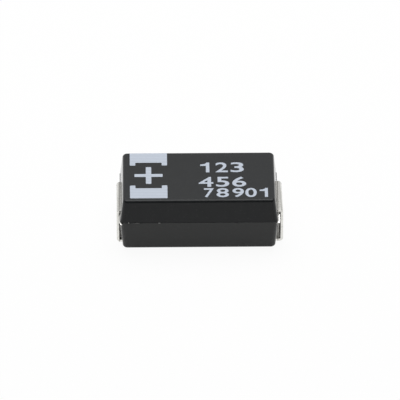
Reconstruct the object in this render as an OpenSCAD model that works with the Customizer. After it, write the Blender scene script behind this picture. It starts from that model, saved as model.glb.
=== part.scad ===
// Moulded chip tantalum capacitor with folded lead-frame terminals.
// Millimetres. The board is the plane z = 0 and the origin lies under the middle of the part.
// +X runs from the anode end to the cathode end, +Z is up.

/* [Moulded case] */
// Length of the case at its parting line
case_length = 6.90; // [6.70:0.05:7.20]
// Width of the case at its parting line
case_width = 4.30; // [4.10:0.05:4.60]
// Depth of the lower mould half, from the parting line to the underside
lower_depth = 1.39; // [1.25:0.01:1.50]
// Depth of the upper mould half, from the parting line to the top face
upper_depth = 1.04; // [0.95:0.01:1.40]
// Draft of the walls below the parting line, in degrees
draft_below = 4.5; // [1:0.1:6]
// Draft of the walls above the parting line, in degrees
draft_above = 7.7; // [5:0.1:9]
// Radius of the four upright corners
corner_radius = 0.21; // [0.16:0.01:0.30]
// Radius of the edges round the underside
bottom_edge_radius = 0.13; // [0.05:0.01:0.15]
// Radius of the edges round the top face
top_edge_radius = 0.06; // [0.03:0.01:0.11]
// How far the moulding flash stands out along the parting line
flash = 0.012; // [0.005:0.001:0.030]

/* [Walls of epoxy inside the case] */
// Epoxy beside the capacitor element, measured at the parting line
side_wall = 0.45; // [0.35:0.01:0.60]
// Epoxy over the capacitor element
roof = 0.40; // [0.25:0.01:0.55]
// Epoxy under the cathode tab
floor_wall = 0.26; // [0.18:0.01:0.40]
// Epoxy outside the cathode riser, measured at the parting line
end_wall = 0.53; // [0.42:0.01:0.70]

/* [Terminals] */
// Thickness of the lead-frame strip
strip = 0.12; // [0.09:0.01:0.14]
// Inner radius of every bend in the strip
bend_radius = 0.04; // [0.02:0.01:0.06]
// Width of both terminals outside the case
terminal_width = 2.40; // [2.20:0.05:2.80]
// Length of each solder pad, from the terminal's outer face
pad_length = 1.30; // [0.90:0.05:1.60]
// Gap between a terminal's leg and the case at its parting line
leg_gap = 0.08; // [0.04:0.01:0.15]
// Gap between a solder pad and the underside of the case
pad_gap = 0.05; // [0.03:0.01:0.15]
// Length of full-width strip held in the end wall of the case
lead_entry = 0.37; // [0.25:0.01:0.40]

/* [Anode weld] */
// Diameter of the tantalum wire
wire_diameter = 0.40; // [0.25:0.01:0.50]
// Length of the wire that the pellet grips
wire_grip = 3.20; // [2.00:0.05:3.80]
// Run of the step that takes the anode strip down to the wire
step_run = 0.25; // [0.20:0.01:0.35]
// Length of the flat weld tab under the wire
weld_length = 0.52; // [0.40:0.01:0.70]
// Width of the weld tab
weld_width = 1.20; // [0.80:0.05:1.80]
// Depth of the saddle coined into the weld tab
saddle_depth = 0.06; // [0.02:0.01:0.08]
// Weld tab left clear beyond the end of the wire
wire_margin = 0.06; // [0.02:0.01:0.12]
// Epoxy between the weld tab and the washer
washer_gap = 0.13; // [0.06:0.01:0.25]
// Thickness of the insulating washer
washer_thickness = 0.15; // [0.08:0.01:0.25]
// Outer diameter of the insulating washer
washer_diameter = 1.10; // [0.80:0.05:1.20]

/* [Cathode tab] */
// Length of the cathode tab under the element, from the riser's inner face
tab_reach = 2.20; // [1.20:0.05:3.00]
// Width of the cathode riser and tab inside the case
tab_width = 2.00; // [1.40:0.05:2.20]
// Thickness of the silver adhesive under and behind the element
adhesive = 0.04; // [0.02:0.01:0.08]
// Tab left clear of adhesive at its sides and its end
adhesive_margin = 0.15; // [0.05:0.01:0.30]
// Height of adhesive up the end of the element
adhesive_climb = 0.60; // [0.30:0.05:0.80]

/* [Capacitor element] */
// Thickness of the conductive polymer coat
polymer_coat = 0.04; // [0.02:0.01:0.06]
// Thickness of the carbon coat
carbon = 0.02; // [0.01:0.01:0.03]
// Thickness of the silver coat
silver = 0.04; // [0.02:0.01:0.06]
// How far each coat stops short of the one beneath it at the wire end
coat_step = 0.18; // [0.10:0.01:0.30]
// Radius of the pellet's long edges
pellet_radius = 0.15; // [0.08:0.01:0.25]

/* [Polarity mark] */
// Distance of the mark's middle from the case's middle, towards the anode end
mark_offset = 2.21; // [2.00:0.01:2.30]
// Distance of the mark's middle from the case's centre line
mark_shift = 0.11; // [-0.15:0.01:0.15]
// Length of the mark along the case
mark_length = 1.66; // [1.40:0.02:1.80]
// Span of the mark across the case, before the top face's edge cuts it off
mark_span = 3.86; // [3.40:0.02:4.00]
// Clear width between the mark's two blocks
mark_window = 2.04; // [1.90:0.02:2.20]
// Reach of the foot at each corner of a block
foot_reach = 0.20; // [0.10:0.01:0.25]
// Width of each foot
foot_width = 0.24; // [0.15:0.01:0.30]
// Length of the plus sign along the case
plus_length = 1.27; // [1.00:0.01:1.35]
// Length of the plus sign across the case
plus_span = 1.42; // [1.10:0.01:1.50]
// Width of the plus sign's bars
plus_bar = 0.24; // [0.16:0.01:0.30]
// Depth of the skin that the marking lightens
mark_depth = 0.02; // [0.01:0.005:0.04]
// Bare strip left between the mark and the rounded edge of the top face
mark_margin = 0.02; // [0.01:0.01:0.05]

/* [Hidden] */

arc_steps = 8;                       // facets of each rounded edge and bend
disc_facets = 64;                    // sides that stand for a full circle
over = 1;                            // how far a cutting shape runs past what it cuts

// Heights above the board
underside = strip + pad_gap;
parting = underside + lower_depth;
top = parting + upper_depth;
tab_height = underside + floor_wall + strip / 2;
element_bottom = tab_height + strip / 2 + adhesive;
element_top = top - roof;
element_middle = (element_bottom + element_top) / 2;

// Distances from the middle of the part along X
case_end = case_length / 2;
terminal_face = case_end + leg_gap + strip;
riser = case_end - end_wall - strip / 2;
element_end = riser - strip / 2 - adhesive;
step_outer = -(case_end - lead_entry);
step_inner = step_outer + step_run;
weld_end = step_inner + weld_length;
wire_end = step_inner + wire_margin;
pellet_face = weld_end + washer_gap + washer_thickness;

// The element's coats, each as its total depth over the pellet
polymer_depth = polymer_coat;
carbon_depth = polymer_depth + carbon;
silver_depth = carbon_depth + silver;
pellet_end = element_end - silver_depth;
pellet_width = case_width - 2 * (side_wall + silver_depth);
pellet_thickness = element_top - element_bottom - 2 * silver_depth;

wire_radius = wire_diameter / 2;
weld_height = element_middle - wire_radius + saddle_depth - strip / 2;

// Points of a rectangle with rounded corners, anticlockwise round the origin
function rounded_outline(length, width, radius) = [
    for (corner = [0:3], step = [0:arc_steps])
        let (angle = 90 * (corner + step / arc_steps),
             side_x = corner == 0 || corner == 3 ? 1 : -1,
             side_y = corner < 2 ? 1 : -1)
        [side_x * (length / 2 - radius) + radius * cos(angle),
         side_y * (width / 2 - radius) + radius * sin(angle)]
];

// How far draft has drawn the wall in at a height
function draft_inset(height) =
    height < parting ? (parting - height) * tan(draft_below)
                     : (height - parting) * tan(draft_above);

// Sections through the case from the underside to the top: height, inset from the parting-line
// outline, corner radius
function case_levels() = concat(
    [for (step = [0:arc_steps])
        let (angle = 90 * step / arc_steps,
             height = underside + bottom_edge_radius * (1 - cos(angle)),
             tuck = bottom_edge_radius * (1 - sin(angle)))
        [height, draft_inset(height) + tuck, corner_radius - tuck]],
    [[parting - flash, draft_inset(parting - flash), corner_radius],
     [parting, -flash, corner_radius + flash],
     [parting + flash, draft_inset(parting + flash), corner_radius]],
    [for (step = [arc_steps:-1:0])
        let (angle = 90 * step / arc_steps,
             height = top - top_edge_radius * (1 - cos(angle)),
             tuck = top_edge_radius * (1 - sin(angle)))
        [height, draft_inset(height) + tuck, corner_radius - tuck]]
);

// Direction to the left of a vector, one long
function left_of(v) = [-v.y, v.x] / norm(v);

function turned(v, angle) = [v.x * cos(angle) - v.y * sin(angle), v.x * sin(angle) + v.y * cos(angle)];

// Arc of one face of the strip where its centre line a-b-c bends at b; side is 1 on the left
function bend_arc(a, b, c, side) =
    let (radius = bend_radius + strip / 2,
         before = (b - a) / norm(b - a),
         after = (c - b) / norm(c - b),
         turn = before.x * after.y - before.y * after.x < 0 ? -1 : 1,
         sweep = acos(before * after),
         arc_start = b - before * radius * tan(sweep / 2),
         middle = arc_start + turn * radius * left_of(before),
         reach = radius - turn * side * strip / 2)
    [for (step = [0:arc_steps])
        middle - turn * reach * turned(left_of(before), turn * sweep * step / arc_steps)];

// One face of a strip bent along a centre line
function strip_face(path, side) =
    let (last = len(path) - 1)
    concat([path[0] + side * strip / 2 * left_of(path[1] - path[0])],
           [for (i = [1:last - 1]) each bend_arc(path[i - 1], path[i], path[i + 1], side)],
           [path[last] + side * strip / 2 * left_of(path[last] - path[last - 1])]);

function reversed(points) = [for (i = [len(points) - 1:-1:0]) points[i]];

// The fold outside the case, shared by both terminals: stub, leg and solder pad
function outer_fold() = [
    [terminal_face - strip / 2, parting],
    [terminal_face - strip / 2, strip / 2],
    [terminal_face - pad_length, strip / 2]
];

cathode_path = concat(
    [[riser - strip / 2 - tab_reach, tab_height],
     [riser, tab_height],
     [riser, parting]],
    outer_fold());

// Seen from behind, so that the anode's outer end also points to +X
anode_path = concat(
    [[-weld_end, weld_height],
     [-step_inner, weld_height],
     [-step_outer, parting]],
    outer_fold());

// Strip of a given width, bent along a centre line in the XZ plane
module bent_strip(path, width) {
    rotate([90, 0, 0])
        linear_extrude(width, center = true)
            polygon(concat(strip_face(path, 1), reversed(strip_face(path, -1))));
}

// Terminal that is full width outside, under and in the end wall of the case, and narrower inside
module terminal(path, inner_width) {
    neck = case_end - lead_entry;
    intersection() {
        bent_strip(path, terminal_width);
        union() {
            translate([neck, -terminal_width, -over])
                cube([terminal_face, 2 * terminal_width, top + over]);
            translate([0, -terminal_width, -over])
                cube([terminal_face, 2 * terminal_width, underside + over]);
            translate([-case_length, -inner_width / 2, underside])
                cube([case_length + neck, inner_width, top]);
        }
    }
}

module anode_strip() {
    mirror([1, 0, 0]) terminal(anode_path, weld_width);
}

module cathode_strip() {
    terminal(cathode_path, tab_width);
}

module wire() {
    translate([wire_end, 0, element_middle])
        rotate([0, 90, 0])
            cylinder(h = pellet_face + wire_grip - wire_end, r = wire_radius, $fn = disc_facets);
}

module washer_disc() {
    translate([pellet_face - washer_thickness, 0, element_middle])
        rotate([0, 90, 0])
            cylinder(h = washer_thickness, d = washer_diameter, $fn = disc_facets);
}

// The pellet with everything coated on it up to a depth, starting at x = start
module element_block(depth, start) {
    translate([start, 0, element_middle])
        rotate([90, 0, 90])
            linear_extrude(pellet_end + depth - start)
                polygon(rounded_outline(pellet_width + 2 * depth, pellet_thickness + 2 * depth,
                                        pellet_radius + depth));
}

module pellet_block() { element_block(0, pellet_face); }
module polymer_block() { element_block(polymer_depth, pellet_face + coat_step); }
module carbon_block() { element_block(carbon_depth, pellet_face + 2 * coat_step); }
module silver_block() { element_block(silver_depth, pellet_face + 3 * coat_step); }

// Adhesive fills the corner between the element and the cathode strip
module adhesive_fill() {
    start = riser - strip / 2 - tab_reach + adhesive_margin;
    width = tab_width - 2 * adhesive_margin;
    difference() {
        translate([start, -width / 2, element_bottom - adhesive])
            cube([riser - strip / 2 - start, width, adhesive + adhesive_climb]);
        silver_block();
        bent_strip(cathode_path, terminal_width);
    }
}

module case_blank() {
    levels = case_levels();
    count = 4 * (arc_steps + 1);
    rings = len(levels);
    points = [
        for (level = levels)
            for (p = rounded_outline(case_length - 2 * level[1], case_width - 2 * level[1], level[2]))
                [p.x, p.y, level[0]]
    ];
    walls = [
        for (ring = [0:rings - 2], i = [0:count - 1])
            let (low = ring * count, high = low + count, next = (i + 1) % count)
            [low + i, high + i, high + next, low + next]
    ];
    underside_face = [[for (i = [0:count - 1]) i]];
    top_face = [[for (i = [count - 1:-1:0]) (rings - 1) * count + i]];
    polyhedron(points, concat(underside_face, walls, top_face));
}

// One block of the mark with its two feet, pointing inwards from the +Y side
module mark_block() {
    translate([-mark_length / 2, mark_window / 2])
        square([mark_length, (mark_span - mark_window) / 2]);
    for (side = [-1, 1])
        translate([side * (mark_length - foot_width) / 2 - foot_width / 2, mark_window / 2 - foot_reach])
            square([foot_width, foot_reach + foot_width]);
}

module mark_outline() {
    flat_inset = draft_inset(top) + top_edge_radius + mark_margin;
    intersection() {
        translate([-mark_offset, mark_shift]) {
            mark_block();
            mirror([0, 1]) mark_block();
            square([plus_length, plus_bar], center = true);
            square([plus_bar, plus_span], center = true);
        }
        square([case_length - 2 * flat_inset, case_width - 2 * flat_inset], center = true);
    }
}

module mark_skin(rise) {
    translate([0, 0, top - mark_depth])
        linear_extrude(mark_depth + rise)
            mark_outline();
}

module moulded_case() {
    color("#3d3f40")
        difference() {
            case_blank();
            anode_strip();
            cathode_strip();
            wire();
            washer_disc();
            pellet_block();
            polymer_block();
            carbon_block();
            silver_block();
            adhesive_fill();
            mark_skin(over);
        }
}

module anode_terminal() {
    color("#c6c8cb")
        difference() {
            anode_strip();
            wire();
        }
}

module cathode_terminal() {
    color("#c6c8cb") cathode_strip();
}

module tantalum_anode() {
    color("#62656b")
        difference() {
            pellet_block();
            wire();
        }
}

module anode_wire() {
    color("#8f9299") wire();
}

module insulating_washer() {
    color("#e9e7e1")
        difference() {
            washer_disc();
            wire();
        }
}

module polymer_cathode() {
    color("#1f2a3c")
        difference() {
            polymer_block();
            pellet_block();
        }
}

module carbon_coat() {
    color("#26272a")
        difference() {
            carbon_block();
            polymer_block();
            pellet_block();
        }
}

module silver_coat() {
    color("#b7b8b4")
        difference() {
            silver_block();
            carbon_block();
        }
}

module silver_adhesive() {
    color("#a3a49f") adhesive_fill();
}

module polarity_mark() {
    color("#c9ced8") mark_skin(0);
}

moulded_case();
anode_terminal();
cathode_terminal();
tantalum_anode();
anode_wire();
insulating_washer();
polymer_cathode();
carbon_coat();
silver_coat();
silver_adhesive();
polarity_mark();
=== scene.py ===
"""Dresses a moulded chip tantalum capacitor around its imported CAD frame.

Everything is in metres in the CAD frame: +X runs from the marked anode end to the cathode end,
+Z is up, and the board is the plane z = 0. Sizes in the classes are written in millimetres and
turned to metres where a mesh is made.
"""

import logging
import math
from dataclasses import dataclass, field
from enum import Enum
from typing import Iterable, Sequence

import bmesh
import bpy
from mathutils import Matrix, Quaternion, Vector


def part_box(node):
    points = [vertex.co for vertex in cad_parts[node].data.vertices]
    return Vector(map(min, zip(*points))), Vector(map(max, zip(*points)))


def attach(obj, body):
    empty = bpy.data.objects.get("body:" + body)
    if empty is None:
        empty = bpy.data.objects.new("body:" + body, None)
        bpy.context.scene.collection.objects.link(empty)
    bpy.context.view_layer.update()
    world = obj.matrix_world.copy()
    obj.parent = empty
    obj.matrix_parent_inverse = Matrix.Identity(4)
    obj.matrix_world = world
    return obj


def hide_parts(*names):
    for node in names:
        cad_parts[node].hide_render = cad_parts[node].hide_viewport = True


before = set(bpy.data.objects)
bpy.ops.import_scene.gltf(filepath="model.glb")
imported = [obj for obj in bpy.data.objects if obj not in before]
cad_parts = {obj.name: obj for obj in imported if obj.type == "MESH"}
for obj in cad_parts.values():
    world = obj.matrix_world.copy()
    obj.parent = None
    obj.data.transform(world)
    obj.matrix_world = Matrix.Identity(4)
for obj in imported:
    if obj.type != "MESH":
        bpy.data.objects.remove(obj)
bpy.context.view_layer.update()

BODY = "root"
MM = 0.001
# Distance in millimetres under which two places are the same.
SAME = 1e-4
WHITE = (1.0, 1.0, 1.0, 1.0)
# Straight pieces in a bend of the strip, in its rounded long edges and in a corner of the case.
BEND_STEPS = 12
EDGE_STEPS = 3
CORNER_STEPS = 8
# Sides of the flash fin, and the values of its noise at which it starts and ends to thicken.
FIN_SIDES = 6
FIN_NOISE = (0.48, 0.78)

Socket = bpy.types.NodeSocket
Tree = bpy.types.NodeTree
Piece = bpy.types.Object

log = logging.getLogger("capacitor")


# ---------------------------------------------------------------------------------------------
# Small helpers
# ---------------------------------------------------------------------------------------------


def linear(hex_colour: str) -> tuple[float, float, float, float]:
    """Turns an sRGB colour such as "#3c3f41" into linear RGBA.

    Args:
        hex_colour: The colour as a hash and six hex digits.

    Returns:
        Linear red, green, blue and an alpha of 1.
    """
    channels = [int(hex_colour[i:i + 2], 16) / 255 for i in (1, 3, 5)]
    scene = [c / 12.92 if c <= 0.04045 else ((c + 0.055) / 1.055) ** 2.4 for c in channels]
    return (scene[0], scene[1], scene[2], 1.0)


def add_node(
    tree: Tree,
    kind: str,
    inputs: dict[str | int, object] | None = None,
    **settings: object,
) -> bpy.types.Node:
    """Adds one node to a shader or geometry tree, with its settings, values and links.

    Args:
        tree: The tree that takes the node.
        kind: The node's type, such as "ShaderNodeBump".
        inputs: Socket name or number to a value, or to the output socket that feeds it.
        **settings: The node's own properties.

    Returns:
        The new node.
    """
    node = tree.nodes.new(kind)
    for name, value in settings.items():
        setattr(node, name, value)
    for key, value in (inputs or {}).items():
        socket = node.inputs[key]
        if isinstance(value, Socket):
            tree.links.new(value, socket)
        else:
            socket.default_value = value
    return node


def maths(tree: Tree, operation: str, *values: float | Socket) -> Socket:
    """Adds a maths node on its values, in order, and gives its result."""
    return add_node(
        tree, "ShaderNodeMath", dict(enumerate(values)), operation=operation).outputs["Value"]


def ramp(
    tree: Tree,
    value: Socket,
    source: tuple[float, float],
    target: tuple[float | Socket, float | Socket],
    **settings: object,
) -> Socket:
    """Carries a value from one range to another and holds it at the ends.

    Args:
        tree: The tree that takes the node.
        value: The value.
        source: The value's own range.
        target: What it becomes at the two ends of that range.
        **settings: The node's own properties.

    Returns:
        The new value.
    """
    node = add_node(tree, "ShaderNodeMapRange", {
        "Value": value, "From Min": source[0], "From Max": source[1],
        "To Min": target[0], "To Max": target[1]}, **settings)
    return node.outputs["Result"]


def noise(tree: Tree, place: Socket, size: float, detail: float, rough: float = 0.5) -> Socket:
    """Adds a noise texture.

    Args:
        tree: The material's tree.
        place: Coordinates in metres.
        size: Size of its features in millimetres.
        detail: How many finer layers it has.
        rough: How strong each finer layer is beside the one above it.

    Returns:
        Its value, about 0.5 on average.
    """
    node = add_node(tree, "ShaderNodeTexNoise", {
        "Vector": place, "Scale": per_mm(size), "Detail": detail, "Roughness": rough})
    return node.outputs["Fac"]


def mix_colours(tree: Tree, share: Socket, first: str | Socket, second: str | Socket) -> Socket:
    """Mixes two colours.

    Args:
        tree: The material's tree.
        share: Share of the second colour.
        first: The first colour, as a socket or in sRGB hex.
        second: The second colour, in the same way.

    Returns:
        The mixed colour.
    """
    pair = [linear(c) if isinstance(c, str) else c for c in (first, second)]
    node = add_node(tree, "ShaderNodeMix", {
        "Factor": share, "A": pair[0], "B": pair[1]}, data_type="RGBA")
    return node.outputs["Result"]


def per_mm(size: float) -> float:
    """Texture scale on metre coordinates that gives features of a size in millimetres."""
    return 1.0 / (size * MM)


def new_object(name: str, data: bpy.types.ID) -> Piece:
    """Links a mesh, text, lamp or camera into the scene as an object at the origin.

    Args:
        name: The object's name.
        data: What it shows.

    Returns:
        The object.
    """
    made = bpy.data.objects.new(name, data)
    bpy.context.scene.collection.objects.link(made)
    return made


def mesh_from(name: str, work: bmesh.types.BMesh) -> bpy.types.Mesh:
    """Turns a bmesh into a mesh and frees it.

    Args:
        name: The mesh's name.
        work: The bmesh.

    Returns:
        The mesh.
    """
    mesh = bpy.data.meshes.new(name)
    work.to_mesh(mesh)
    work.free()
    return mesh


def welded_copy(node: str) -> bpy.types.Mesh:
    """Copies a CAD node's mesh with its loose triangles welded along their shared edges.

    Args:
        node: The CAD node's name.

    Returns:
        A closed mesh in the CAD frame.
    """
    work = bmesh.new()
    work.from_mesh(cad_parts[node].data)
    bmesh.ops.remove_doubles(work, verts=work.verts, dist=SAME * MM)
    welded = mesh_from(f"{node}_welded", work)
    for stale in [a for a in welded.attributes if a.name == "custom_normal"]:
        welded.attributes.remove(stale)
    return welded


def smooth(piece: Piece, sharp_above: float) -> None:
    """Shades a piece smooth, with edges over an angle kept sharp and flat faces kept flat.

    Args:
        piece: The finished mesh object.
        sharp_above: Angle in degrees from which an edge stays sharp.
    """
    piece.data.shade_smooth()
    piece.data.set_sharp_from_angle(angle=math.radians(sharp_above))
    weighted = piece.modifiers.new("flat_faces_stay_flat", "WEIGHTED_NORMAL")
    weighted.mode = "FACE_AREA_WITH_ANGLE"
    weighted.keep_sharp = True


def settle(piece: Piece) -> None:
    """Replaces a piece's mesh by what its modifiers make of it, and removes them.

    Args:
        piece: The piece.
    """
    evaluated = piece.evaluated_get(bpy.context.evaluated_depsgraph_get())
    finished = bpy.data.meshes.new_from_object(evaluated)
    piece.modifiers.clear()
    piece.data = finished


def left_of(direction: Vector) -> Vector:
    """The flat direction a quarter turn to the left of another."""
    return Vector((-direction.y, direction.x))


def corner_arc(
    before: Vector, corner: Vector, after: Vector, radius: float, steps: int = CORNER_STEPS
) -> list[Vector]:
    """Rounds one corner of a flat outline.

    Args:
        before: The outline's point before the corner.
        corner: The corner.
        after: The outline's point after it.
        radius: Radius of the rounding; 0 keeps the corner.
        steps: Straight pieces in the arc.

    Returns:
        The points that replace the corner.
    """
    if radius <= 0:
        return [corner.copy()]
    into = (corner - before).normalized()
    out = (after - corner).normalized()
    turn = 1 if into.x * out.y - into.y * out.x > 0 else -1
    sweep = into.angle(out)
    start = corner - into * radius * math.tan(sweep / 2)
    centre = start + left_of(into) * turn * radius
    spoke = start - centre
    return [
        centre + Matrix.Rotation(turn * sweep * step / steps, 2) @ spoke
        for step in range(steps + 1)
    ]


def rounded_loop(points: Sequence[tuple[float, float, float]], steps: int = 5) -> list[Vector]:
    """Rounds the corners of a closed flat outline.

    Args:
        points: x, y and corner radius of each corner.
        steps: Straight pieces in each arc.

    Returns:
        The outline's points.
    """
    count = len(points)
    flat = [Vector(p[:2]) for p in points]
    loop: list[Vector] = []
    for i in range(count):
        loop += corner_arc(flat[i - 1], flat[i], flat[(i + 1) % count], points[i][2], steps)
    return loop


# ---------------------------------------------------------------------------------------------
# Finishes
# ---------------------------------------------------------------------------------------------


@dataclass(frozen=True)
class Finish:
    """A plain finish, and the base of the detailed ones.

    Attributes:
        name: The material's name, for the real substance and how its surface was made.
        slot: The record's material slot; not used by this script.
        colour: Main colour in sRGB hex.
        second: Colour that the main one drifts towards in patches.
        patch: Size of those patches in millimetres.
        grain: Size of the surface grain in millimetres.
        relief: Height of the grain in millimetres.
        roughness: Mean roughness.
        spread: How far the roughness goes to each side of its mean.
        metallic: 1 for bare metal.
        ior: Index of refraction, for what isn't metal.
        sheen_level: Specular level of the surface.
    """

    name: str
    slot: str
    colour: str
    second: str
    patch: float = 0.4
    grain: float = 0.03
    relief: float = 0.001
    roughness: float = 0.5
    spread: float = 0.08
    metallic: float = 0.0
    ior: float = 1.5
    sheen_level: float = 0.5

    def material(self) -> bpy.types.Material:
        """Builds the material once and returns it.

        Returns:
            The material of this finish.
        """
        made = bpy.data.materials.get(self.name)
        if made:
            return made
        made = bpy.data.materials.new(self.name)
        made.use_nodes = True
        made.diffuse_color = linear(self.colour)
        tree = made.node_tree
        shader = tree.nodes["Principled BSDF"]
        shader.inputs["Metallic"].default_value = self.metallic
        shader.inputs["Specular IOR Level"].default_value = self.sheen_level
        if not self.metallic:
            shader.inputs["IOR"].default_value = self.ior
        place = add_node(tree, "ShaderNodeTexCoord").outputs["Object"]
        self.dress(tree, shader, place)
        return made

    def dress(self, tree: Tree, shader: bpy.types.Node, place: Socket) -> None:
        """Links colour, roughness and relief to the shader.

        Args:
            tree: The material's tree.
            shader: Its Principled shader.
            place: Object coordinates, in metres.
        """
        tree.links.new(self.drifting_colour(tree, place, 3.0), shader.inputs["Base Color"])
        grain = noise(tree, place, self.grain, 4.0, 0.6)
        self.link_roughness(tree, shader, grain)
        self.link_relief(tree, shader, grain)

    def drifting_colour(
        self, tree: Tree, place: Socket, detail: float, rough: float = 0.5
    ) -> Socket:
        """Main colour, drifting towards the second one in patches.

        Args:
            tree: The material's tree.
            place: Coordinates in metres.
            detail: How many finer layers the patches have.
            rough: How strong each finer layer is beside the one above it.

        Returns:
            The colour.
        """
        patches = noise(tree, place, self.patch, detail, rough)
        return mix_colours(tree, patches, self.colour, self.second)

    def link_roughness(self, tree: Tree, shader: bpy.types.Node, height: Socket) -> None:
        """Lets the roughness drift with a texture.

        Args:
            tree: The material's tree.
            shader: Its Principled shader.
            height: Texture value from 0 to 1.
        """
        ends = (self.roughness - self.spread, self.roughness + self.spread)
        tree.links.new(ramp(tree, height, (0.25, 0.75), ends), shader.inputs["Roughness"])

    def link_relief(self, tree: Tree, shader: bpy.types.Node, height: Socket) -> None:
        """Raises the surface grain by bump.

        Args:
            tree: The material's tree.
            shader: Its Principled shader.
            height: Texture value from 0 to 1.
        """
        bump = add_node(tree, "ShaderNodeBump", {
            "Height": height, "Strength": 1.0, "Distance": self.relief * MM})
        tree.links.new(bump.outputs["Normal"], shader.inputs["Normal"])


@dataclass(frozen=True)
class MouldedEpoxy(Finish):
    """Silica-filled black epoxy, transfer-moulded against a spark-eroded cavity.

    It gives the eye a near-black, fine matt skin with a soft sheen at grazing angles, and a few
    grey filler grains that show through the resin.

    Attributes:
        filler: Colour of the filler grains.
        filler_spacing: Mean distance between grains that show, in millimetres.
        filler_share: Radius of a grain as a share of that distance.
        filler_core: Share of that radius at which a grain's colour is at its fullest.
        filler_depth: How far a grain's colour covers the resin there, from 0 to 1.
        grazing: Edge-on weights between which fine relief comes to count less.
        grazing_roughness: Roughness where the skin is seen edge-on.
        lower_half_painted_light: Lighter colour of the skin below the parting line: painted light,
            for the bright floor that the lower walls face.
        parting: Height in millimetres at which the mould halves meet.
    """

    filler: str = "#6b6c6a"
    filler_spacing: float = 0.11
    filler_share: float = 0.12
    filler_core: float = 0.4
    filler_depth: float = 0.5
    grazing: tuple[float, float] = (0.6, 0.92)
    grazing_roughness: float = 0.06
    lower_half_painted_light: str = "#3a3b3b"
    parting: float = 1.56

    def dress(self, tree: Tree, shader: bpy.types.Node, place: Socket) -> None:
        """Links resin colour, filler grains, roughness and the eroded texture.

        Args:
            tree: The material's tree.
            shader: Its Principled shader.
            place: Object coordinates, in metres.
        """
        resin = self.drifting_colour(tree, place, 4.0, 0.65)
        height = add_node(tree, "ShaderNodeSeparateXYZ", {"Vector": place}).outputs["Z"]
        # Painted light: the skin below the parting line is lighter, standing for the bright floor
        # that the lower walls face.
        below = maths(tree, "LESS_THAN", height, self.parting * MM)
        painted_light_halves = mix_colours(tree, below, resin, self.lower_half_painted_light)
        cells = add_node(tree, "ShaderNodeTexVoronoi", {
            "Vector": place, "Scale": per_mm(self.filler_spacing)}).outputs["Distance"]
        core = self.filler_share * self.filler_core
        speck = ramp(tree, cells, (self.filler_share, core), (0.0, self.filler_depth))
        speckled = mix_colours(tree, speck, painted_light_halves, self.filler)
        tree.links.new(speckled, shader.inputs["Base Color"])
        eroded = noise(tree, place, self.grain, 5.0, 0.65)
        edge_on = add_node(tree, "ShaderNodeLayerWeight", {"Blend": 0.5}).outputs["Facing"]
        fine = ramp(tree, edge_on, self.grazing, (self.roughness, self.grazing_roughness))
        drift = maths(tree, "MULTIPLY_ADD", eroded, 2 * self.spread, fine)
        centred = maths(tree, "SUBTRACT", drift, self.spread)
        tree.links.new(centred, shader.inputs["Roughness"])
        self.link_relief(tree, shader, eroded)


@dataclass(frozen=True)
class MattTin(Finish):
    """Matt tin, electroplated on a stamped and folded copper-alloy strip.

    It gives the eye a pale, slightly warm grey metal with a soft broad reflection, fine lines
    along the bends, darker stains and, where the strip leaves the epoxy, a dark line of resin bleed
    and painted shadow.

    Attributes:
        stain: Colour of the stains.
        stain_size: Size of the stains in millimetres.
        stain_noise: Noise values between which a stain comes up.
        stain_depth: How far a stain's colour covers the tin, from 0 to 1.
        line_pitch: Spacing of the lines that folding leaves along each bend, in millimetres.
        streak: Scale of stains and lines along the bends, beside 1 across them.
        seam: Distance from the part's middle to the seam where the strip leaves the epoxy.
        seam_slant: How much further towards +X the seams lie for each millimetre along Y.
        seam_width: Half the width of the dark line along that seam.
        seam_bleed_and_shadow: Colour of that line, of resin bleed and shadow.
        seam_noise: Noise values between which the line grows darker.
        seam_depth: How far its colour covers the tin at those two values.
    """

    stain: str = "#8b8880"
    stain_size: float = 0.10
    stain_noise: tuple[float, float] = (0.50, 0.75)
    stain_depth: float = 0.30
    line_pitch: float = 0.035
    streak: float = 0.12
    seam: float = 3.474
    seam_slant: float = 0.009
    seam_width: float = 0.013
    seam_bleed_and_shadow: str = "#4a4843"
    seam_noise: tuple[float, float] = (0.35, 0.6)
    seam_depth: tuple[float, float] = (0.75, 0.95)

    def dress(self, tree: Tree, shader: bpy.types.Node, place: Socket) -> None:
        """Links tin colour, stains, rolling lines and crystal grain.

        Args:
            tree: The material's tree.
            shader: Its Principled shader.
            place: Object coordinates, in metres.
        """
        across = add_node(tree, "ShaderNodeMapping", {
            "Vector": place, "Scale": (1.0, self.streak, 1.0)}).outputs["Vector"]
        tin = self.drifting_colour(tree, across, 4.0)
        stains = noise(tree, across, self.stain_size, 4.0, 0.6)
        stained = ramp(tree, stains, self.stain_noise, (0.0, self.stain_depth))
        colour = mix_colours(tree, stained, tin, self.stain)
        # Resin bleed and painted shadow along the line where the strip leaves the epoxy.
        bled_and_shaded = mix_colours(tree, self.seam_share(tree, stains, place), colour, self.seam_bleed_and_shadow)
        tree.links.new(bled_and_shaded, shader.inputs["Base Color"])
        lines = noise(tree, across, self.line_pitch, 2.0)
        crystals = noise(tree, place, self.grain, 3.0)
        self.link_roughness(tree, shader, stains)
        self.link_relief(tree, shader, maths(tree, "ADD", lines, crystals))

    def seam_share(self, tree: Tree, stains: Socket, place: Socket) -> Socket:
        """How far the seam's colour covers the tin: 0 away from the two seams.

        Args:
            tree: The material's tree.
            stains: The stains' noise, which makes the line patchy.
            place: Object coordinates, in metres.

        Returns:
            The share.
        """
        parts = add_node(tree, "ShaderNodeSeparateXYZ", {"Vector": place}).outputs
        along = maths(tree, "MULTIPLY_ADD", parts["Y"], -self.seam_slant, parts["X"])
        outwards = maths(tree, "ABSOLUTE", along)
        at_seam = maths(tree, "COMPARE", outwards, self.seam * MM, self.seam_width * MM)
        patchy = ramp(tree, stains, self.seam_noise, self.seam_depth)
        return maths(tree, "MULTIPLY", at_seam, patchy)


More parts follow.
